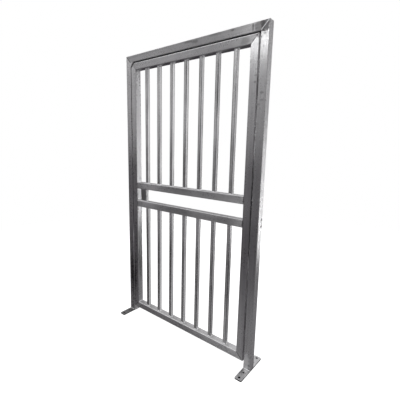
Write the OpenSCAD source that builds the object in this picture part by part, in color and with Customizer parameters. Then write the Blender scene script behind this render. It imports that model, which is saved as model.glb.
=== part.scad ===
// Pedestrian side gate: a square-tube portal frame on two bolt-down plates, and a barred
// leaf that swings in it on two weld-on barrel hinges. Millimetres, +Z up, -Y is the front.
// The origin is the underside centre of the hinge post's base plate.

/* [Portal frame] */
// Overall height, from the ground to the top of the head rail
gate_height = 2100; // [1600:10:2600]
// Overall width, over the outside of both posts
gate_width = 1200; // [800:10:1800]
// Side of the square tube that the portal and the leaf frame are made of
tube = 50; // [40:1:70]
// Wall thickness of the square tube
tube_wall = 2.5; // [2:0.5:5]
// Outside corner radius of the square tube
tube_corner = 4; // [3:0.5:8]

/* [Base plates] */
// Length of a base plate, across the line of the gate
plate_length = 270; // [220:5:400]
// Thickness of a base plate
plate_thickness = 8; // [6:1:15]
// Corner radius of a base plate
plate_corner = 8; // [2:1:15]
// Distance from a plate's end to the middle of its end hole
end_hole_margin = 20; // [15:1:30]
// Distance from the end hole to the hole beside the post
hole_pitch = 53; // [30:1:60]
// Diameter of the anchor holes
anchor_hole = 14; // [9:1:18]

/* [Side fixing holes] */
// Height of the middle of the pair of holes in the hinge post's outer face
side_holes_height = 983; // [300:1:1500]
// Distance between the two holes
side_holes_spacing = 40; // [20:1:100]
// Diameter of the two holes
side_hole = 6; // [4:0.5:8]
// Distance of the holes from the back of the post
side_holes_setback = 10; // [10:1:25]

/* [Leaf frame] */
// Gap between the leaf and the portal, at both sides and at the top
leaf_gap = 9; // [6:1:15]
// Height of the leaf's underside above the ground
ground_gap = 50; // [30:5:150]
// Height of the middle of the slot between the two middle rails
slot_height = 1040; // [700:5:1300]
// Height of the slot itself
slot = 96; // [50:1:200]
// Size of the leaf's cut-off top corner, along each side
leaf_chamfer = 27; // [15:1:35]
// Thickness of the plates that close the cut-off corner and the portal's corner
corner_plate = 4; // [2:0.5:6]

/* [Bars] */
// Number of bars in each panel
bar_count = 7; // [4:1:12]
// Side of the square tube of the bars
bar = 25; // [15:1:35]
// Wall thickness of the bars
bar_wall = 2; // [1:0.5:3]
// Outside corner radius of the bars
bar_corner = 2.5; // [2:0.5:5]

/* [Lock pocket] */
// Clear width between the latch stile and the lock upright
pocket_width = 35; // [20:1:60]
// Width of the lock upright
upright_width = 60; // [30:1:80]
// Depth of the lock upright
upright_depth = 30; // [20:1:40]
// Wall thickness of the lock upright
upright_wall = 3; // [2:0.5:4]
// Outside corner radius of the lock upright
upright_corner = 5; // [4:0.5:6]

/* [Hinges] */
// Distance of each hinge's middle from the leaf's top or bottom end
hinge_inset = 260; // [150:10:500]
// Diameter of the barrels
barrel = 18; // [16:1:24]
// Length of each barrel half
barrel_length = 60; // [40:5:100]
// Distance of the hinge axis behind the back of the tubes
axis_setback = 13; // [11:1:20]
// Diameter of the hinge pin
hinge_pin = 10; // [8:1:12]
// Play between the pin and its bore, on the radius
pin_play = 0.05; // [0.02:0.01:0.1]
// Length of the pin above the lower half
pin_length = 50; // [30:5:80]
// Thickness of the wings that are welded to the tubes
wing = 6; // [4:0.5:8]
// Height of a wing
wing_height = 50; // [30:5:80]
// Reach of a wing, from the hinge axis
wing_reach = 40; // [25:1:45]
// Thickness of the thrust collar between the halves
collar = 2; // [1:0.5:4]

/* [Hidden] */
$fn = 48;

half = tube / 2;

// Portal: the hinge post stands at x = 0, the latch post on the -X side
latch_x = tube - gate_width;
opening_left = latch_x + half;
opening_right = -half;
opening_top = gate_height - tube;

// Leaf outline
leaf_left = opening_left + leaf_gap;
leaf_right = opening_right - leaf_gap;
leaf_top = opening_top - leaf_gap;
leaf_bottom = ground_gap;
upper_rail_bottom = slot_height + slot / 2;
lower_rail_top = slot_height - slot / 2;

// Bars divide the distance between the stiles' middles into equal parts
bar_pitch = (leaf_right - leaf_left - tube) / (bar_count + 1);

// The portal's corner keeps the same gap to the leaf's cut-off corner
gusset_leg = leaf_chamfer + (2 - sqrt(2)) * leaf_gap;

// Hinges stand in the middle of the hinge-side gap
axis_x = opening_right - leaf_gap / 2;
axis_y = half + axis_setback;
lower_hinge_z = leaf_bottom + hinge_inset;
upper_hinge_z = leaf_top - hinge_inset;
end_chamfer = 1.5;
thrust_gap = 0.3;

steel = [0.62, 0.63, 0.65];
bar_steel = [0.68, 0.69, 0.71];
plate_steel = [0.55, 0.56, 0.58];
hinge_steel = [0.5, 0.51, 0.53];

// ---- Shapes that repeat ----

// Outline of a rectangular tube, filled
module outline(width, depth, corner) {
    square([width - 2 * corner, depth], center = true);
    square([width, depth - 2 * corner], center = true);
    for (x = [-1, 1], y = [-1, 1])
        translate([x * (width / 2 - corner), y * (depth / 2 - corner)]) circle(corner);
}

// Cross-section of a rectangular tube
module section(width, depth, corner, wall) {
    difference() {
        outline(width, depth, corner);
        outline(width - 2 * wall, depth - 2 * wall, max(corner - wall, 0.5));
    }
}

// Upright square tube between two heights; filled, it is the space that the tube takes
module upright_tube(x, bottom, top, filled = false) {
    translate([x, 0, bottom]) linear_extrude(top - bottom)
        if (filled) outline(tube, tube, tube_corner);
        else section(tube, tube, tube_corner, tube_wall);
}

// Level square tube between two places on X
module level_tube(left, right, z, filled = false) {
    translate([left, 0, z]) rotate([0, 90, 0]) linear_extrude(right - left)
        if (filled) outline(tube, tube, tube_corner);
        else section(tube, tube, tube_corner, tube_wall);
}

// Everything beyond a plane through [x, z]; at angle 0 it is what lies above
module beyond(x, z, angle) {
    size = 4 * tube;
    translate([x, 0, z]) rotate([0, angle, 0])
        translate([-size / 2, -size / 2, 0]) cube(size);
}

// Bar of a panel, upright between two rails
module panel_bar(i, bottom, top) {
    translate([leaf_left + half + i * bar_pitch, 0, bottom]) linear_extrude(top - bottom)
        section(bar, bar, bar_corner, bar_wall);
}

// Base plate with its four anchor holes in a line
module base_plate(x) {
    end_hole = plate_length / 2 - end_hole_margin;
    translate([x, 0, 0]) difference() {
        linear_extrude(plate_thickness) outline(tube, plate_length, plate_corner);
        for (y = [end_hole, end_hole - hole_pitch], side = [-1, 1])
            translate([0, side * y, -1]) cylinder(h = plate_thickness + 2, d = anchor_hole);
    }
}

// Wing from the hinge axis along the back of a tube, with a neck that carries the barrel;
// side 1 is the post, -1 the leaf
module hinge_wing(side, bottom) {
    translate([side > 0 ? 0 : -wing_reach, -axis_setback, bottom]) cube([wing_reach, wing, wing_height]);
    translate([side > 0 ? 0 : -barrel / 2, -axis_setback, bottom]) cube([barrel / 2, axis_setback, wing_height]);
}

// Lower half of a hinge, on the post: barrel, thrust collar and pin
module post_half(z) {
    barrel_top = -collar - thrust_gap;
    wing_bottom = barrel_top - (barrel_length + wing_height) / 2;
    translate([axis_x, axis_y, z]) {
        translate([0, 0, barrel_top - barrel_length + end_chamfer])
            cylinder(h = barrel_length - end_chamfer, d = barrel);
        translate([0, 0, barrel_top - barrel_length])
            cylinder(h = end_chamfer, d1 = barrel - 2 * end_chamfer, d2 = barrel);
        translate([0, 0, barrel_top]) cylinder(h = collar, d = (barrel + hinge_pin) / 2);
        translate([0, 0, barrel_top]) cylinder(h = pin_length - barrel_top, d = hinge_pin);
        hinge_wing(1, wing_bottom);
    }
}

// Upper half of a hinge, on the leaf: barrel with a blind bore that drops over the pin
module leaf_half(z) {
    bore_depth = pin_length + collar;
    translate([axis_x, axis_y, z]) difference() {
        union() {
            cylinder(h = barrel_length - end_chamfer, d = barrel);
            translate([0, 0, barrel_length - end_chamfer])
                cylinder(h = end_chamfer, d1 = barrel, d2 = barrel - 2 * end_chamfer);
            hinge_wing(-1, (barrel_length - wing_height) / 2);
        }
        translate([0, 0, -1]) cylinder(h = bore_depth + 1, d = hinge_pin + 2 * pin_play);
    }
}

// ---- Portal frame ----

module hinge_post() {
    color(steel) difference() {
        upright_tube(0, plate_thickness, gate_height);
        beyond(half, gate_height, -45);
        for (side = [-1, 1])
            translate([half - 2 * tube_wall, half - side_holes_setback,
                       side_holes_height + side * side_holes_spacing / 2])
                rotate([0, 90, 0]) cylinder(h = 3 * tube_wall, d = side_hole);
    }
}

module latch_post() {
    color(steel) difference() {
        upright_tube(latch_x, plate_thickness, gate_height);
        beyond(latch_x - half, gate_height, 45);
    }
}

module head_rail() {
    color(steel) difference() {
        level_tube(latch_x - half, half, gate_height - half);
        beyond(half, gate_height, 135);
        beyond(latch_x - half, gate_height, 225);
    }
}

// Box corner between the latch post and the head rail: front and back cheek and a slanting web
module corner_gusset() {
    web = corner_plate * sqrt(2);
    color(steel) translate([opening_left, 0, opening_top]) {
        for (y = [half, corner_plate - half])
            translate([0, y, 0]) rotate([90, 0, 0]) linear_extrude(corner_plate)
                polygon([[0, 0], [0, -gusset_leg], [gusset_leg, 0]]);
        translate([0, half, 0]) rotate([90, 0, 0]) linear_extrude(tube)
            polygon([[0, -gusset_leg], [gusset_leg, 0], [gusset_leg - web, 0], [0, web - gusset_leg]]);
    }
}

module hinge_base_plate() {
    color(plate_steel) base_plate(0);
}

module latch_base_plate() {
    color(plate_steel) base_plate(latch_x);
}

// ---- Leaf ----

// Hinge-side upright of the leaf frame, mitred at both ends
module hinge_stile() {
    color(steel) difference() {
        upright_tube(leaf_right - half, leaf_bottom, leaf_top);
        beyond(leaf_right, leaf_top, -45);
        beyond(leaf_right, leaf_bottom, 225);
    }
}

// Space on the outside of the leaf's cut-off corner, moved in by a depth
module cut_corner(depth) {
    shift = leaf_chamfer / 2 + depth / sqrt(2);
    beyond(leaf_left + shift, leaf_top - shift, -45);
}

module mitred_latch_stile(filled = false) {
    difference() {
        upright_tube(leaf_left + half, leaf_bottom, leaf_top, filled);
        beyond(leaf_left, leaf_top, 45);
        beyond(leaf_left, leaf_bottom, 135);
    }
}

module mitred_top_rail(filled = false) {
    difference() {
        level_tube(leaf_left, leaf_right, leaf_top - half, filled);
        beyond(leaf_right, leaf_top, 135);
        beyond(leaf_left, leaf_top, 225);
    }
}

module latch_stile() {
    color(steel) difference() {
        mitred_latch_stile();
        cut_corner(corner_plate);
    }
}

module leaf_top_rail() {
    color(steel) difference() {
        mitred_top_rail();
        cut_corner(corner_plate);
    }
}

// Plate that closes the cut-off corner, flush with the tubes all round
module leaf_corner_plate() {
    color(plate_steel) difference() {
        intersection() {
            union() {
                mitred_latch_stile(filled = true);
                mitred_top_rail(filled = true);
            }
            cut_corner(corner_plate);
        }
        cut_corner(0);
    }
}

module leaf_bottom_rail() {
    color(steel) difference() {
        level_tube(leaf_left, leaf_right, leaf_bottom + half);
        beyond(leaf_right, leaf_bottom, 45);
        beyond(leaf_left, leaf_bottom, -45);
    }
}

module upper_mid_rail() {
    color(steel) level_tube(leaf_left + tube, leaf_right - tube, upper_rail_bottom + half);
}

module lower_mid_rail() {
    color(steel) level_tube(leaf_left + tube, leaf_right - tube, lower_rail_top - half);
}

// Short upright that closes the lock pocket beside the latch stile
module lock_upright() {
    color(steel) translate([leaf_left + tube + pocket_width + upright_width / 2, 0, lower_rail_top])
        linear_extrude(slot) section(upright_width, upright_depth, upright_corner, upright_wall);
}

module upper_bar(i) {
    color(bar_steel) panel_bar(i, upper_rail_bottom + tube, leaf_top - tube);
}

module lower_bar(i) {
    color(bar_steel) panel_bar(i, leaf_bottom + tube, lower_rail_top - tube);
}

// ---- Hinges ----

module upper_hinge_post_half() {
    color(hinge_steel) post_half(upper_hinge_z);
}

module lower_hinge_post_half() {
    color(hinge_steel) post_half(lower_hinge_z);
}

module upper_hinge_leaf_half() {
    color(hinge_steel) leaf_half(upper_hinge_z);
}

module lower_hinge_leaf_half() {
    color(hinge_steel) leaf_half(lower_hinge_z);
}

hinge_post();
latch_post();
head_rail();
corner_gusset();
hinge_base_plate();
latch_base_plate();
hinge_stile();
latch_stile();
leaf_top_rail();
leaf_bottom_rail();
upper_mid_rail();
lower_mid_rail();
lock_upright();
leaf_corner_plate();
for (i = [1:bar_count]) upper_bar(i);
for (i = [1:bar_count]) lower_bar(i);
upper_hinge_post_half();
lower_hinge_post_half();
upper_hinge_leaf_half();
lower_hinge_leaf_half();
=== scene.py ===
"""Looks of a galvanised pedestrian side gate: camera, studio, steel materials and welds."""

import math

import bpy
from mathutils import Matrix, Vector, noise


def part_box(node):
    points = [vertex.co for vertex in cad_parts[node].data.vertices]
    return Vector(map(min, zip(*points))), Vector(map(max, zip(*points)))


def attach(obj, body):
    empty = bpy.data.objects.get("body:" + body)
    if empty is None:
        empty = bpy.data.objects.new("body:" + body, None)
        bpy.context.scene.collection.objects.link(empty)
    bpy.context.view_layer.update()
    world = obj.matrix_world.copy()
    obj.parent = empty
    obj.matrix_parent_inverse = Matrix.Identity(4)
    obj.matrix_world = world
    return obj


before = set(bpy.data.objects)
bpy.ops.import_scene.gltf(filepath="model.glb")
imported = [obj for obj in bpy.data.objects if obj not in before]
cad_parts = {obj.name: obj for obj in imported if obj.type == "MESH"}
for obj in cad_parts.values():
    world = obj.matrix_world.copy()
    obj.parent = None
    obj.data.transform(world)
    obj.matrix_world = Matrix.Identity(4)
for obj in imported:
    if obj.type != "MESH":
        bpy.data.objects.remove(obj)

MM = 0.001
X = Vector((1, 0, 0))
Y = Vector((0, 1, 0))
Z = Vector((0, 0, 1))
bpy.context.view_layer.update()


# ---- Camera ----

# Place in metres and angles in degrees; the yaw turns it from straight ahead (+Y) to the left
CAMERA_PLACE = Vector((0.8076, -1.5727, 1.4146))
CAMERA_YAW = 38.34
CAMERA_PITCH = -9.8
CAMERA_ROLL = 1.31
FIELD_OF_VIEW = 67.93

# Sensor width in mm, which the lens's focal length is worked out for
SENSOR_WIDTH = 36


def make_camera():
    """Eye-height camera to the right of the gate's front, turned to its left."""
    yaw, pitch, roll = (math.radians(a) for a in (CAMERA_YAW, CAMERA_PITCH, CAMERA_ROLL))
    forward = Vector((
        -math.sin(yaw) * math.cos(pitch),
        math.cos(yaw) * math.cos(pitch),
        math.sin(pitch),
    ))
    level_right = Vector((math.cos(yaw), math.sin(yaw), 0))
    level_up = level_right.cross(forward)
    right = level_right * math.cos(roll) + level_up * math.sin(roll)
    up = level_up * math.cos(roll) - level_right * math.sin(roll)
    turn = Matrix((right, up, -forward)).transposed().to_4x4()
    data = bpy.data.cameras.new("camera")
    data.sensor_width = SENSOR_WIDTH
    data.lens = SENSOR_WIDTH / 2 / math.tan(math.radians(FIELD_OF_VIEW) / 2)
    camera = bpy.data.objects.new("camera", data)
    camera.matrix_world = Matrix.Translation(CAMERA_PLACE) @ turn
    bpy.context.scene.collection.objects.link(camera)
    bpy.context.scene.camera = camera


# ---- Node trees ----

def add(tree, kind, **settings):
    """New node of a kind, with its properties set."""
    node = tree.nodes.new("ShaderNode" + kind)
    for name, value in settings.items():
        setattr(node, name, value)
    return node


def put(tree, value, socket):
    """Sets a socket to a number or colour, or links another socket to it."""
    if isinstance(value, bpy.types.NodeSocket):
        tree.links.new(value, socket)
    else:
        socket.default_value = value


def math_node(tree, operation, *values):
    node = add(tree, "Math", operation=operation)
    for value, socket in zip(values, node.inputs):
        put(tree, value, socket)
    return node.outputs[0]


def times(tree, a, b):
    return math_node(tree, "MULTIPLY", a, b)


def vector_node(tree, operation, *values):
    node = add(tree, "VectorMath", operation=operation)
    for value, socket in zip(values, node.inputs):
        put(tree, value, socket)
    return node.outputs["Value"] if operation == "LENGTH" else node.outputs[0]


def split(tree, vector):
    """X, Y and Z of a vector."""
    node = add(tree, "SeparateXYZ")
    put(tree, vector, node.inputs[0])
    return node.outputs


def step(tree, value, low, high):
    """0 below the first place and 1 above the second, smooth between; the places may be swapped."""
    node = add(tree, "MapRange", interpolation_type="SMOOTHSTEP")
    put(tree, value, node.inputs["Value"])
    node.inputs["From Min"].default_value = low
    node.inputs["From Max"].default_value = high
    return node.outputs[0]


def total(tree, base, *terms):
    """Base plus the sum of weight * (value - middle) over the terms (value, middle, weight)."""
    result = base
    for value, middle, weight in terms:
        shifted = math_node(tree, "SUBTRACT", value, middle) if middle else value
        result = math_node(tree, "MULTIPLY_ADD", shifted, weight, result)
    return result


def ramp(tree, value, stops):
    """Brightness that runs through the stops (place, brightness)."""
    node = add(tree, "ValToRGB")
    put(tree, value, node.inputs["Fac"])
    elements = node.color_ramp.elements
    elements.remove(elements[-1])
    for i, (place, tone) in enumerate(stops):
        element = elements[0] if i == 0 else elements.new(place)
        element.position = place
        element.color = (tone, tone, tone, 1)
    return node.outputs["Color"]


def mix_color(tree, factor, a, b):
    """Colour a where the factor is 0 and b where it is 1, on the node's sockets for colours."""
    node = add(tree, "Mix", data_type="RGBA")
    put(tree, factor, node.inputs["Factor"])
    put(tree, a, node.inputs[6])
    put(tree, b, node.inputs[7])
    return node.outputs[2]


# ---- Studio ----

FLOOR_HALF = 12
FLOOR_DROP = 0.5 * MM
FLOOR_GREY = (0.7, 0.7, 0.7, 1)
FLOOR_GLOW = 0.72

# Distances from the hinge post between which the floor fades away
FLOOR_FADE = (2.5, 5)


def new_object(name, points, faces, material):
    mesh = bpy.data.meshes.new(name)
    mesh.from_pydata(points, [], faces)
    mesh.materials.append(material)
    made = bpy.data.objects.new(name, mesh)
    bpy.context.scene.collection.objects.link(made)
    return made


def make_floor():
    """Plain pale floor that fades into the white round it."""
    material = bpy.data.materials.new("floor")
    material.use_nodes = True
    tree = material.node_tree
    tree.nodes.clear()
    diffuse = add(tree, "BsdfDiffuse")
    diffuse.inputs["Color"].default_value = FLOOR_GREY
    glow = add(tree, "Emission")
    glow.inputs["Strength"].default_value = FLOOR_GLOW
    both = add(tree, "AddShader")
    tree.links.new(diffuse.outputs[0], both.inputs[0])
    tree.links.new(glow.outputs[0], both.inputs[1])
    distance = vector_node(tree, "LENGTH", add(tree, "TexCoord").outputs["Object"])
    fade = add(tree, "MixShader")
    put(tree, step(tree, distance, *FLOOR_FADE), fade.inputs["Fac"])
    tree.links.new(both.outputs[0], fade.inputs[1])
    tree.links.new(add(tree, "BsdfTransparent").outputs[0], fade.inputs[2])
    tree.links.new(fade.outputs[0], add(tree, "OutputMaterial").inputs["Surface"])
    half = FLOOR_HALF
    corners = [(-half, -half, 0), (half, -half, 0), (half, half, 0), (-half, half, 0)]
    floor = new_object("floor", corners, [(0, 1, 2, 3)], material)
    floor.location.z = -FLOOR_DROP
    floor.visible_glossy = False


# Brightness of the studio by elevation in degrees, for several directions round the gate
FRONT = [
    (-40, .41), (-32, .36), (-25, .2), (-17, .085), (-12, .23), (-8, .18), (0, .28), (7, .42),
    (13, .44), (40, .4), (60, 1.8), (90, 2.4),
]
SOFTBOX = [(15.8, 0), (17.2, 3.5), (20.5, 3.5), (22, 0)]
FRONT_LEFT = [
    (-40, .1), (-30, .03), (-27, .02), (-21, .02), (-18, .07), (-14, .06), (-9, .12), (-6, .03),
    (-2, .08), (0, .4), (5, .54), (12, .62), (17, .52), (25, .3), (50, .6), (65, 1.8), (90, 2.4),
]
RIGHT = [(-40, .16), (-20, .13), (0, .16), (10, .24), (30, .35), (60, 1.5), (90, 2.0)]
BACK_RIGHT = [
    (-40, .42), (-28, .42), (-20, .38), (-14, .42), (-6, .5), (0, .58), (6, .64), (12, .6),
    (20, .5), (50, .9), (90, 1.2),
]
FLAG = [(-40, .22), (-20, .2), (-12, .36), (0, .34), (15, .36), (30, .4), (50, .9), (90, 1.2)]
BACK = [
    (-40, .25), (-27, .25), (-23, .4), (-20.5, 3), (-18.5, 9.5), (-15, 14), (-12, 10.5), (-6, 8),
    (-1, 8), (4, 3.4), (8, 2.5), (15, 2.6), (25, 1), (50, .9), (90, 1.2),
]
REAR = [(-40, .06), (0, .08), (12, .15), (25, .22), (32, .45), (38, 1.0), (50, 1.1), (90, 1.2)]
LEFT = [(-40, .04), (-20, .04), (0, .12), (12, .2), (25, .4), (50, 1.0), (90, 1.4)]

# Faint light of the room that comes from everywhere
ROOM_TINT = (0.006, 0, 0.008)

# Azimuths in degrees over which a profile fades in; 0 is straight in front of the gate, and they grow
# to the right. The sectors lie over the front, each over those before it.
FRONT_SPAN = (-54, -26)
SOFTBOX_SPAN = (-33, -30)
SECTORS = [
    (RIGHT, (-15, 30)),
    (BACK_RIGHT, (95, 120)),
    (FLAG, (137, 144)),
    (BACK, (153, 158)),
    (REAR, (161, 167)),
    (LEFT, (-56, -75)),
    (REAR, (-125, -160)),
]


def make_world():
    """White backdrop to the camera; to the steel, a dark room with soft light in bands."""
    world = bpy.data.worlds.new("studio")
    world.use_nodes = True
    bpy.context.scene.world = world
    tree = world.node_tree
    tree.nodes.clear()
    x, y, z = split(tree, add(tree, "TexCoord").outputs["Generated"])
    place = math_node(tree, "MULTIPLY_ADD", math_node(tree, "ARCSINE", z), 1 / math.pi, 0.5)
    azimuth = math_node(tree, "ARCTAN2", x, times(tree, y, -1.0))
    degrees = times(tree, azimuth, 180 / math.pi)

    def profile(stops):
        return ramp(tree, place, [((elevation + 90) / 180, tone) for elevation, tone in stops])

    tone = mix_color(tree, step(tree, degrees, *FRONT_SPAN), profile(FRONT_LEFT), profile(FRONT))
    softbox = vector_node(tree, "MULTIPLY", profile(SOFTBOX), step(tree, degrees, *SOFTBOX_SPAN))
    tone = vector_node(tree, "ADD", tone, softbox)
    for stops, span in SECTORS:
        tone = mix_color(tree, step(tree, degrees, *span), tone, profile(stops))
    lit = add(tree, "Background")
    put(tree, vector_node(tree, "ADD", tone, ROOM_TINT), lit.inputs["Color"])
    seen = add(tree, "Background")
    seen.inputs["Color"].default_value = (1, 1, 1, 1)
    mix = add(tree, "MixShader")
    put(tree, add(tree, "LightPath").outputs["Is Camera Ray"], mix.inputs["Fac"])
    tree.links.new(lit.outputs[0], mix.inputs[1])
    tree.links.new(seen.outputs[0], mix.inputs[2])
    tree.links.new(mix.outputs[0], add(tree, "OutputWorld").inputs["Surface"])


# ---- Steel ----

# Colours of the zinc; the shaded one is painted shade for the latch post's plate, which is dark in the photo
ZINC = (0.62, 0.62, 0.625)
BAR_ZINC = (0.74, 0.74, 0.745)
SHADED_ZINC = (0.2, 0.2, 0.2)
HINGE_ZINC = (0.55, 0.55, 0.57)
BEAD_ZINC = (0.85, 0.85, 0.86)
SEAM_GREY = (0.05, 0.05, 0.05)

# Crevices narrower than this get painted shade
CREVICE = 0.03

# Lightest tone that a mark can give, as a multiple of the zinc's colour
BRIGHTEST = 2.3

# Heights over which crevices turn from painted light to painted shade, and over which they turn back to
# painted light higher up
DARK_CREVICES_FROM = (0.7, 0.82)
DARK_CREVICES_TO = (1.4, 1.25)

# Middle of the values that a noise gives
MID = 0.5

# Marks: middle and half size in mm, how much darker, how much rougher, and the share of the half size
# within which the mark is full
MARKS = [
    # Corner of the head rail and the hinge post
    ((-32, -25, 2075), (34, 6, 60), 0.24, 0.12, 0.8),
    ((-74, -25, 2077), (6, 4, 22), 0.42, 0.1, 0.8),
    ((-65, -25, 2077), (3, 4, 20), -0.12, 0.0, 0.8),
    ((0, -25, 2100), (30, 6, 68), 0.3, 0.5, 0.8),
    # Head rail's upper edge
    ((-205, -25, 2088), (16, 4, 7), 0.3, 0.1, 0.6),
    ((-485, -25, 2080), (32, 4, 12), 0.2, 0.1, 0.6),
    ((-545, -25, 2089), (40, 4, 8), 0.15, 0.1, 0.6),
    ((-330, -25, 2091), (60, 4, 8), 0.15, 0.1, 0.6),
    # Lock upright
    ((-1000, -15, 1040), (36, 8, 60), 0.3, 0.1, 0.6),
    # Knocks on the hinge post and the hinge stile
    ((1, -25, 1728), (11, 4, 6), 0.3, 0.15, 0.8),
    ((6, -25, 1708), (11, 4, 14), -0.12, 0.05, 0.6),
    ((3, -25, 1688), (15, 4, 6), 0.14, 0.1, 0.6),
    ((-42, -25, 1823), (11, 4, 5), 0.3, 0.1, 0.8),
    ((-45, -25, 1788), (9, 4, 6), 0.25, 0.1, 0.8),
    ((-17, -25, 1665), (9, 4, 6), 0.25, 0.1, 0.8),
    # Foot of the hinge post
    ((14, -25, 42), (9, 4, 7), 0.5, 0.1, 0.7),
    ((16, -25, 18), (9, 4, 6), 0.5, 0.1, 0.7),
    ((-6, -25, 60), (26, 4, 80), -0.7, 0.05, 0.4),
    # Latch stile's inner side: painted reflection that lightens its upper part, and painted shade that darkens
    # its lower part
    ((-1066, 0, 1400), (6, 26, 660), -0.6, 0.05, 0.8),
    ((-1066, 0, 590), (6, 26, 330), 0.5, 0.05, 0.6),
    # Fronts of the latch stile and the latch post, with a painted dark reflection low down and painted light
    # higher up, and painted shade in the gap between them
    ((-1125, -25, 330), (62, 5, 290), 0.85, 0.0, 0.1),
    ((-1125, -25, 1660), (62, 5, 430), -0.18, 0.0, 0.4),
    ((-1120, 0, 1620), (7, 30, 480), 0.55, 0.0, 0.8),
    # Upper and lower middle rails
    ((-900, -25, 1113), (150, 4, 45), -0.36, 0.0, 0.3),
    ((-590, -25, 1113), (130, 4, 45), 0.2, 0.0, 0.3),
    ((-930, -25, 967), (120, 4, 45), -0.3, 0.0, 0.3),
    ((-620, -25, 967), (200, 4, 45), 0.27, 0.0, 0.3),
    ((-200, -25, 967), (110, 4, 45), 0.22, 0.0, 0.4),
    # Leaf's top rail, the last one a painted highlight: a light line on its edge
    ((-800, -25, 2016), (420, 4, 40), -0.2, 0.0, 0.4),
    ((-120, -25, 2016), (45, 4, 24), 0.25, 0.05, 0.4),
    ((-500, -24.5, 2040), (640, 4, 4), -3.5, -0.1, 0.7),
    # Side holes of the hinge post, darkened in and round them as painted shade, and a stain between them
    ((25, 15, 963), (4, 11, 9), 0.95, 0.1, 0.75),
    ((25, 15, 1003), (4, 11, 9), 0.95, 0.1, 0.75),
    ((25, 15, 983), (4, 6, 12), 0.3, 0.1, 0.6),
    # Hinge base plate: a painted shadow in front of the post, and painted shade on the walls of its four holes
    ((-20, -62, 8), (8, 34, 4), 0.35, 0.1, 0.6),
    ((0, -115, 4), (9, 9, 10), 1.0, 0.2, 0.8),
    ((0, -62, 4), (9, 9, 10), 1.0, 0.2, 0.8),
    ((0, 62, 4), (9, 9, 10), 1.0, 0.2, 0.8),
    ((0, 115, 4), (9, 9, 10), 1.0, 0.2, 0.8),
]

BAR_MARKS = [
    # Upper ends of the lower bars' fronts, lightened as painted light
    ((-575, -12.5, 880), (900, 5, 260), -0.5, 0.0, 0.3),
    # Right faces of lower bar 7 and upper bars 7 and 6, darkened as painted shade
    ((-176, 0, 430), (5, 20, 420), 0.3, 0.0, 0.5),
    ((-176, 0, 1480), (5, 20, 480), 0.1, -0.1, 0.7),
    ((-305, 0, 1300), (5, 20, 300), 0.05, -0.08, 0.7),
]


def mottle(tree, place, scale, detail, roughness=0.55):
    node = add(tree, "TexNoise")
    put(tree, place, node.inputs["Vector"])
    node.inputs["Scale"].default_value = scale
    node.inputs["Detail"].default_value = detail
    node.inputs["Roughness"].default_value = roughness
    return node.outputs["Fac"]


def cells(tree, place, scale):
    """Random value of each crystal, and the distance from its middle."""
    node = add(tree, "TexVoronoi")
    put(tree, place, node.inputs["Vector"])
    node.inputs["Scale"].default_value = scale
    channels = add(tree, "SeparateColor")
    put(tree, node.outputs["Color"], channels.inputs[0])
    return channels.outputs[0], node.outputs["Distance"]


def marked(tree, place, tone, rough, marks):
    """Tone and roughness with ragged marks laid over them, some of them painted light and shade."""
    ragged = mottle(tree, place, scale=90, detail=3)
    for middle, half, darker, rougher, core in marks:
        away = vector_node(tree, "SUBTRACT", place, Vector(middle) * MM)
        size = vector_node(tree, "LENGTH", vector_node(tree, "DIVIDE", away, Vector(half) * MM))
        mask = step(tree, total(tree, size, (ragged, MID, 1.2)), 1.0, core)
        tone = total(tree, tone, (mask, 0, -darker))
        rough = total(tree, rough, (mask, 0, rougher))
    return tone, rough


def crevice_shaded(tree, place, tone, crevice_shade, crevice_light):
    """Tone with painted shade in crevices, by crevice_shade; crevice_light lightens them again as painted
    light below and above a band of heights.
    """
    corner = add(tree, "AmbientOcclusion", samples=4)
    corner.inputs["Distance"].default_value = CREVICE
    closed = math_node(tree, "SUBTRACT", 1.0, step(tree, corner.outputs["AO"], 0.05, 0.6))
    if crevice_light:
        height = split(tree, place)[2]
        dark_band = times(tree, step(tree, height, *DARK_CREVICES_FROM), step(tree, height, *DARK_CREVICES_TO))
        crevice_shade = total(tree, crevice_shade - crevice_light, (dark_band, 0, crevice_light))
    kept = math_node(tree, "MULTIPLY_ADD", closed, times(tree, crevice_shade, -1.0), 1.0)
    return math_node(tree, "MINIMUM", times(tree, tone, kept), BRIGHTEST)


def band_shaded(tree, within, facing, tone, band_shade):
    """Tone with painted shade along both edges of the faces towards Y and at the back of those towards X."""
    across, deep, _ = split(tree, within)
    off_middle = math_node(tree, "ABSOLUTE", math_node(tree, "SUBTRACT", across, MID))
    edge_band = times(tree, step(tree, off_middle, 0.2, 0.45), facing[1])
    back_band = times(tree, step(tree, deep, 0.4, 0.95), facing[0])
    return total(tree, tone, (edge_band, 0, -band_shade), (back_band, 0, -band_shade))


def with_dust_and_sheen(tree, place, upward, tone, metal, dust_and_sheen):
    """Tone and metal with a dull dusting on the rounded upper edges, which also lightens them as a painted
    highlight, and grit on all that faces up.
    """
    dust_and_sheen_edge = times(tree, step(tree, upward, 0.15, 0.5), step(tree, upward, 0.995, 0.95))
    speckle = math_node(tree, "SUBTRACT", mottle(tree, place, scale=350, detail=2), MID)
    grit = times(tree, speckle, step(tree, upward, 0.5, 0.9))
    tone = total(tree, tone, (dust_and_sheen_edge, 0, 0.4 * dust_and_sheen), (grit, 0, dust_and_sheen))
    return tone, total(tree, metal, (dust_and_sheen_edge, 0, -dust_and_sheen))


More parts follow.
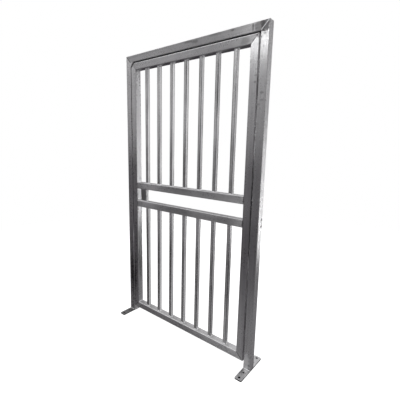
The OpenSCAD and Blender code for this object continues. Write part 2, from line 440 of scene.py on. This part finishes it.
def galvanised(name, grain=None, shade=ZINC, roughness=0.3, anisotropy=1.0, cloud=0.2, drift=0.2,
               streak=0.5, speck=0.25, crevice_shade=0.75, crevice_light=0.0, side_shade=0.0, dust_and_sheen=0.0, across=0.0,
               painted_rim=0.05, band_shade=0.0, patina=0.0, relief=1.0, marks=()):
    """Zinc-coated steel: clouds, flow streaks along the grain, crystals, specks and fine bumps.

    Cloud, drift, streak and speck are the strengths of the pattern. In crevices, crevice_shade darkens the
    tone as painted shade, and crevice_light lightens it as painted light below and above a band of heights.
    On upright faces, side_shade darkens and dulls them as painted shade; on the rounded upper edges,
    dust_and_sheen dulls them with a dusting and lightens them as a painted highlight. Across makes the faces
    towards X lighter and those towards Y darker as painted light and shade, band_shade darkens their edges as
    painted shade, and painted_rim lightens rounded edges as a painted highlight, or darkens them as painted
    shade where it is below zero. Patina makes the zinc less metallic, relief scales the bumps, and marks are
    single spots, some of them painted light and shade.
    """
    material = bpy.data.materials.new(name)
    material.use_nodes = True
    tree = material.node_tree
    bsdf = tree.nodes["Principled BSDF"]
    coordinates = add(tree, "TexCoord")
    place = coordinates.outputs["Object"]
    normal = coordinates.outputs["Normal"]
    facing = split(tree, vector_node(tree, "ABSOLUTE", normal))

    def stretched(amount):
        scale = {None: (1, 1, 1), "X": (amount, 1, 1), "Z": (1, 1, amount)}[grain]
        return vector_node(tree, "MULTIPLY", place, scale)

    clouds = mottle(tree, stretched(0.3), scale=22, detail=5)
    drifts = mottle(tree, stretched(0.5), scale=14, detail=2)
    streaks = mottle(tree, stretched(0.03), scale=70, detail=3)
    lines = mottle(tree, stretched(0.02), scale=900, detail=2)
    waves = mottle(tree, stretched(0.5), scale=12, detail=2)
    smudges = step(tree, mottle(tree, place, scale=45, detail=5, roughness=0.65), 0.56, 0.7)
    crystal, _ = cells(tree, place, scale=130)
    lot, distance = cells(tree, place, scale=210)
    specks = times(tree, step(tree, distance, 0.3, 0.1), step(tree, lot, 0.86, 0.9))
    squarest = math_node(tree, "MAXIMUM", math_node(tree, "MAXIMUM", facing[0], facing[1]), facing[2])
    edge = step(tree, squarest, 0.99, 0.8)

    # The last term gives rounded edges a painted highlight, or painted shade where its weight is below zero
    tone = total(tree, 1.0, (clouds, MID, cloud), (drifts, MID, drift), (streaks, MID, streak),
                 (lines, MID, 0.1), (crystal, MID, 0.05), (smudges, 0, -0.08), (specks, 0, -speck),
                 (edge, 0, painted_rim))
    rough = total(tree, roughness, (clouds, MID, 0.12), (lines, MID, 0.12), (crystal, MID, 0.05),
                  (smudges, 0, 0.08), (specks, 0, 0.1))
    metal = 1.0 - patina
    if marks:
        tone, rough = marked(tree, place, tone, rough, marks)
    # Painted shade in crevices, and painted light in them outside a band of heights
    tone = crevice_shaded(tree, place, tone, crevice_shade, crevice_light)
    # Painted shade that darkens and dulls the upright faces
    if side_shade:
        level_face = step(tree, facing[2], 0.3, 0.8)
        tone = times(tree, tone, total(tree, 1 - side_shade, (level_face, 0, side_shade)))
        rough = total(tree, rough, (level_face, 1, -0.6 * side_shade))
    # Painted light on the faces towards X and painted shade on those towards Y
    if across:
        tone = total(tree, tone, (facing[0], MID, across), (facing[1], MID, -across))
    # Painted shade along the edges of the faces
    if band_shade:
        tone = band_shaded(tree, coordinates.outputs["Generated"], facing, tone, band_shade)
    # A dull dusting on the rounded upper edges, which also lightens them as a painted highlight
    if dust_and_sheen:
        tone, metal = with_dust_and_sheen(tree, place, split(tree, normal)[2], tone, metal, dust_and_sheen)
    bumps = total(tree, 0.0, (waves, MID, 0.25), (lines, MID, 0.012), (crystal, MID, 0.006),
                  (clouds, MID, 0.08), (specks, 0, 0.05))

    colour = add(tree, "VectorMath", operation="SCALE")
    put(tree, shade, colour.inputs[0])
    put(tree, tone, colour.inputs["Scale"])
    bump = add(tree, "Bump")
    bump.inputs["Strength"].default_value = 1
    bump.inputs["Distance"].default_value = relief * MM
    put(tree, bumps, bump.inputs["Height"])
    put(tree, colour.outputs[0], bsdf.inputs["Base Color"])
    put(tree, rough, bsdf.inputs["Roughness"])
    put(tree, metal, bsdf.inputs["Metallic"])
    put(tree, bump.outputs[0], bsdf.inputs["Normal"])
    if grain:
        bsdf.inputs["Anisotropic"].default_value = anisotropy
        tangent = add(tree, "Tangent", direction_type="RADIAL", axis=grain)
        put(tree, tangent.outputs[0], bsdf.inputs["Tangent"])
    return material


# ---- Weld beads ----

# Ripples of a bead: their length, the slices in one, how much they swell the bead, the level of a ripple
# that swells nothing, and how far the ripples bow along the bead, as a share of their length
RIPPLE = 2.2 * MM
SLICES_PER_RIPPLE = 4
RIPPLE_SWELL = 0.16
RIPPLE_LEVEL = 0.6
BOW = 0.6

# Uneven width of a bead, and how fast that changes along it, per metre
WOBBLE = 0.12
WOBBLE_RATE = 160

# A bead's ends are rounded over this many half widths, down to this share of its size
END_LENGTH = 1.5
END_SIZE = 0.15

# Depth of a bead's root in the steel
SUNK = 0.2 * MM

# Legs of the fillets on the portal, and on the leaf and the hinges
PORTAL_LEG = 3 * MM
LEAF_LEG = 4 * MM

# Distance that seams, and beads across the depth of a tube, keep from its rounded corners
SEAM_INSET = 4 * MM
DEPTH_INSET = 5 * MM

# Width and rise of each kind of seam
GROUND_MITRE = (3.4 * MM, 0.25 * MM)
TIGHT_MITRE = (1.2 * MM, 0.25 * MM)
RAISED_MITRE = (6 * MM, 0.8 * MM)
PLATE_SEAM = (3.4 * MM, 0.3 * MM)
FLUSH_SEAM = (3 * MM, 0.4 * MM)
FOOT_SEAM = (4 * MM, 0.6 * MM)

# Distance of the raised mitre's start from the inner corner, and of the plate's seam from the edges
MITRE_START = 1 * MM
PLATE_INSET = 2 * MM

# Height of a hinge's wing, and of its lower edge over the low end of the barrel
WING_HEIGHT = 50 * MM
WING_RAISE = 5 * MM


def arc(turn, steps, power=1):
    """Points of a bead's outline, from one toe round by an angle; a lower power is fuller."""
    angles = [turn * i / steps for i in range(steps + 1)]
    return [(math.cos(a) ** power, math.sin(a) ** power) for a in angles]


FILLET = arc(math.pi / 2, 5, 1.6)
CROWN = arc(math.pi, 6)


class Beads:
    """Weld beads of one body, gathered in one mesh; front and back are the faces of its tubes."""

    def __init__(self, front, back):
        self.front = front
        self.back = back
        self.points = []
        self.faces = []

    def sweep(self, start, end, side, up, shape, wide, high, base):
        """Rippled bead from start to end; its outline is side * wide * a + up * high * b."""
        run = end - start
        length = run.length
        slices = max(4, round(length / RIPPLE * SLICES_PER_RIPPLE))
        first = len(self.points)
        ring = len(shape) + len(base)
        for i in range(slices + 1):
            along = length * i / slices
            middle = start + run * (i / slices)
            to_end = min(along, length - along) / (END_LENGTH * wide)
            rounded = math.sqrt(max(1 - (1 - min(to_end, 1)) ** 2, 0))
            taper = rounded * (1 - END_SIZE) + END_SIZE
            wobble = 1 + WOBBLE * noise.noise(middle * WOBBLE_RATE)
            for j, (a, b) in enumerate(shape):
                across = 2 * j / (len(shape) - 1) - 1
                phase = (along + BOW * RIPPLE * across ** 2) / RIPPLE
                ripple = (abs(math.sin(math.pi * phase)) - RIPPLE_LEVEL) * (1 - across ** 4)
                swell = taper * wobble * (1 + RIPPLE_SWELL * ripple)
                self.points.append(middle + side * (wide * a * swell) + up * (high * b * swell))
            for a, b in base:
                self.points.append(middle + side * (a * taper) + up * b)
        for i in range(slices):
            this = first + i * ring
            following = this + ring
            for j in range(ring):
                k = (j + 1) % ring
                self.faces.append((this + j, following + j, following + k, this + k))
        last = first + slices * ring
        self.faces.append(tuple(first + j for j in range(ring)))
        self.faces.append(tuple(last + j for j in reversed(range(ring))))

    def fillet(self, start, end, side, up, leg):
        """Bead in the corner between two faces, which run off along side and up."""
        self.sweep(start, end, side, up, FILLET, leg, leg, [(-SUNK, -SUNK)])

    def fillet_across(self, x, z, side, up, leg):
        """Fillet from the front to the back, at one place in X and Z."""
        start = Vector((x, self.front + DEPTH_INSET, z))
        end = Vector((x, self.back - DEPTH_INSET, z))
        self.fillet(start, end, side, up, leg)

    def fillets_round(self, low, high, z, up, leg):
        """Fillets round a tube that stands on a level face; low and high are its corners in plan."""
        plan = ((low.x, low.y), (high.x, low.y), (high.x, high.y), (low.x, high.y))
        corners = [Vector((x, y, z)) for x, y in plan]
        for i, corner in enumerate(corners):
            self.fillet(corner, corners[(i + 1) % 4], (-Y, X, Y, -X)[i], up, leg)

    def seam(self, start, end, out, width, rise):
        """Low bead across the joint of two faces that are flush; out points away from them."""
        side = (end - start).normalized().cross(out)
        half = width / 2
        self.sweep(start, end, side, out, CROWN, half, rise, [(-half, -SUNK), (half, -SUNK)])

    def seam_both_sides(self, start, end, size):
        """Seam between two places in X and Z, on the front and on the back."""
        for y, out in ((self.front, -Y), (self.back, Y)):
            self.seam(Vector((start[0], y, start[1])), Vector((end[0], y, end[1])), out, *size)

    def make(self, name, body, material):
        welds = new_object(name, self.points, self.faces, material)
        for face in welds.data.polygons:
            face.use_smooth = True
        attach(welds, body)


def wing_welds(beads, name, side):
    """Fillets round the free edges of a hinge's wing, which points along X * side behind its tube."""
    low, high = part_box(name)
    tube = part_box("hinge_post" if side > 0 else "hinge_stile")
    y = tube[1].y
    edge, tip = (tube[0].x + SEAM_INSET, high.x) if side > 0 else (tube[1].x - SEAM_INSET, low.x)
    bottom = low.z + WING_RAISE
    top = bottom + WING_HEIGHT
    for z, up in ((bottom, -Z), (top, Z)):
        beads.fillet(Vector((edge, y, z)), Vector((tip, y, z)), up, Y, LEAF_LEG)
    beads.fillet(Vector((tip, y, bottom)), Vector((tip, y, top)), X * side, Y, LEAF_LEG)


def make_portal_welds(bead_steel, seam_steel):
    post, latch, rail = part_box("hinge_post"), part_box("latch_post"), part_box("head_rail")
    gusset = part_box("corner_gusset")
    front, back = rail[0].y, rail[1].y
    right, top, under = post[0].x, rail[1].z, rail[0].z
    beads = Beads(front, back)
    seams = Beads(front, back)

    # Head rail on the hinge post, a bead that was left as it is, and on the latch post, ground flush
    inner = (right + MITRE_START, under + MITRE_START)
    outer = (post[1].x - DEPTH_INSET, top - DEPTH_INSET)
    beads.seam_both_sides(inner, outer, RAISED_MITRE)
    beads.fillet_across(right, under, -X, -Z, PORTAL_LEG)
    outer = (latch[0].x + SEAM_INSET, top - SEAM_INSET)
    seams.seam_both_sides(outer, (latch[1].x, under), GROUND_MITRE)

    # Gusset between the head rail and the latch post
    corner = (gusset[0].x, gusset[1].z)
    slope = (X + Z).normalized()
    beads.seam_both_sides((gusset[0].x, gusset[0].z), corner, FLUSH_SEAM)
    beads.seam_both_sides(corner, (gusset[1].x, gusset[1].z), FLUSH_SEAM)
    beads.fillet_across(gusset[0].x, gusset[0].z, -Z, slope, PORTAL_LEG)
    beads.fillet_across(gusset[1].x, under, X, -slope, PORTAL_LEG)

    # Posts on their plates
    for name in ("hinge_post", "latch_post"):
        low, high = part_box(name)
        for y, out in ((low.y, -Y), (high.y, Y)):
            start = Vector((low.x + SEAM_INSET, y, low.z))
            end = Vector((high.x - SEAM_INSET, y, low.z))
            beads.fillet(start, end, out, Z, PORTAL_LEG)
    for x, out in ((post[0].x, -X), (latch[1].x, X)):
        start = Vector((x, front + DEPTH_INSET, post[0].z))
        end = Vector((x, back - DEPTH_INSET, post[0].z))
        beads.seam(start, end, out, *FOOT_SEAM)

    for name in ("upper_hinge_post_half", "lower_hinge_post_half"):
        wing_welds(beads, name, 1)
    beads.make("portal_welds", "portal", bead_steel)
    seams.make("portal_seams", "portal", seam_steel)


def make_leaf_welds(bead_steel, seam_steel):
    hinge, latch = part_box("hinge_stile"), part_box("latch_stile")
    top, bottom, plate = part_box("leaf_top_rail"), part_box("leaf_bottom_rail"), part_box("leaf_corner_plate")
    left, right = latch[1].x, hinge[0].x
    cut = plate[1].z - plate[0].z
    beads = Beads(top[0].y, top[1].y)
    seams = Beads(top[0].y, top[1].y)

    # Mitres of the frame, from the outer corner to the inner one, and the plate on the cut-off corner
    for outer, inner, size in (
            ((hinge[1].x - SEAM_INSET, hinge[1].z - SEAM_INSET), (right, top[0].z), GROUND_MITRE),
            ((hinge[1].x - SEAM_INSET, hinge[0].z + SEAM_INSET), (right, bottom[1].z), GROUND_MITRE),
            ((latch[0].x + SEAM_INSET, latch[0].z + SEAM_INSET), (left, bottom[1].z), GROUND_MITRE),
            ((latch[0].x + cut / 2, top[1].z - cut / 2), (left, top[0].z), TIGHT_MITRE)):
        seams.seam_both_sides(outer, inner, size)
    lower_end = (latch[0].x + PLATE_INSET, top[1].z - cut + PLATE_INSET)
    upper_end = (latch[0].x + cut - PLATE_INSET, top[1].z - PLATE_INSET)
    seams.seam_both_sides(lower_end, upper_end, PLATE_SEAM)
    for z, up in ((top[0].z, -Z), (bottom[1].z, Z)):
        beads.fillet_across(right, z, -X, up, LEAF_LEG)
        beads.fillet_across(left, z, X, up, LEAF_LEG)

    # Middle rails between the stiles
    for name in ("upper_mid_rail", "lower_mid_rail"):
        low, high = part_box(name)
        for x, across in ((left, X), (right, -X)):
            seams.seam_both_sides((x, low.z + SEAM_INSET), (x, high.z - SEAM_INSET), FLUSH_SEAM)
            for z, up in ((low.z, -Z), (high.z, Z)):
                beads.fillet_across(x, z, across, up, LEAF_LEG)

    # Bars and the lock upright between the rails
    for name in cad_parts:
        if "_bar_" in name or name == "lock_upright":
            low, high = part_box(name)
            beads.fillets_round(low, high, low.z, Z, LEAF_LEG)
            beads.fillets_round(low, high, high.z, -Z, LEAF_LEG)

    for name in ("upper_hinge_leaf_half", "lower_hinge_leaf_half"):
        wing_welds(beads, name, -1)
    beads.make("leaf_welds", "leaf", bead_steel)
    seams.make("leaf_seams", "leaf", seam_steel)


# ---- Plates and their holes ----

# Places of the anchor holes along Y, in mm
HOLE_OFFSETS = (115, 62, -62, -115)

# Painted shade under a hole: a dark disc a little wider than the hole, just under the plate
SHADE_RADIUS = 8 * MM
SHADE_DROP = 0.3 * MM
SHADE_CORNERS = 24
SHADE_GREY = (0.02, 0.02, 0.02, 1)

# Bevel on the edges of the base plates
PLATE_ROUNDING = 1.2 * MM


def make_hole_shades():
    """Painted shade: dark discs under the anchor holes."""
    material = bpy.data.materials.new("hole_shade")
    material.use_nodes = True
    bsdf = material.node_tree.nodes["Principled BSDF"]
    bsdf.inputs["Base Color"].default_value = SHADE_GREY
    bsdf.inputs["Roughness"].default_value = 0.9
    turns = [2 * math.pi * i / SHADE_CORNERS for i in range(SHADE_CORNERS)]
    circle = [(SHADE_RADIUS * math.cos(a), SHADE_RADIUS * math.sin(a)) for a in turns]
    for plate in ("hinge_base_plate", "latch_base_plate"):
        low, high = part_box(plate)
        middle = (low + high) / 2
        for offset in HOLE_OFFSETS:
            ring = [(middle.x + x, offset * MM + y, -SHADE_DROP) for x, y in circle]
            name = f"hole_shade_{plate}_{offset}"
            shade = new_object(name, ring, [tuple(range(SHADE_CORNERS))], material)


def soften_edges(node, width):
    """Rounds the sharp edges of a CAD node a little."""
    node.modifiers.new("join", "WELD").merge_threshold = 0.01 * MM
    bevel = node.modifiers.new("round", "BEVEL")
    bevel.width = width
    bevel.segments = 2
    bevel.angle_limit = math.radians(50)
    bevel.harden_normals = True


# ---- Materials of the CAD nodes ----

# What the upper and the lower bars share
BAR_LOOK = {
    "grain": "Z",
    "shade": BAR_ZINC,
    "roughness": 0.17,
    "anisotropy": 0.0,
    "cloud": 0.55,
    "drift": 0.4,
    "streak": 1.3,
    "speck": 0.12,
    "painted_rim": -0.3,
    "relief": 0.25,
    "marks": BAR_MARKS,
}


def set_material(node, material):
    for slot in node.material_slots:
        slot.link = "OBJECT"
        slot.material = material


def dress_nodes():
    upright = galvanised("upright_steel", "Z", painted_rim=0.2, speck=0.12, crevice_shade=0.35, crevice_light=1.15, marks=MARKS)
    level = galvanised("level_steel", "X", drift=0.35, crevice_shade=0.95, dust_and_sheen=0.9, marks=MARKS)
    bar = galvanised("bar_steel", across=0.2, band_shade=0.55, patina=0.17, **BAR_LOOK)
    # A darker copy for the lower bars, as painted shade: less patina, and stronger painted light and shade
    # across their faces
    low_bar = galvanised("low_bar_steel", across=0.26, band_shade=0.6, patina=0.1, **BAR_LOOK)
    plate = galvanised("plate_steel", roughness=0.4)
    foot = galvanised("foot_steel", roughness=0.38, crevice_shade=1.0, side_shade=0.94, dust_and_sheen=0.7, marks=MARKS)
    # A dark copy of the zinc for the latch post's plate, as painted shade
    far_foot = galvanised("far_foot_steel", shade=SHADED_ZINC, roughness=0.38, side_shade=0.5)
    hinge = galvanised("hinge_steel", shade=HINGE_ZINC, roughness=0.42)
    for name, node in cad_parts.items():
        if "hinge_post_half" in name or "hinge_leaf_half" in name:
            set_material(node, hinge)
        elif "_bar_" in name:
            set_material(node, bar if "upper" in name else low_bar)
        elif "base_plate" in name:
            set_material(node, foot if "hinge" in name else far_foot)
        elif "rail" in name:
            set_material(node, level)
        elif "plate" in name or "gusset" in name:
            set_material(node, plate)
        else:
            set_material(node, upright)
    for name in ("hinge_base_plate", "latch_base_plate"):
        soften_edges(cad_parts[name], PLATE_ROUNDING)


make_camera()
make_floor()
make_world()
dress_nodes()
make_hole_shades()
bead_steel = galvanised("weld", shade=BEAD_ZINC, roughness=0.38, crevice_shade=0.4)
seam_steel = galvanised("seam", shade=SEAM_GREY, roughness=0.5, crevice_shade=0.3)
make_portal_welds(bead_steel, seam_steel)
make_leaf_welds(bead_steel, seam_steel)
bpy.context.scene.view_settings.view_transform = "Standard"
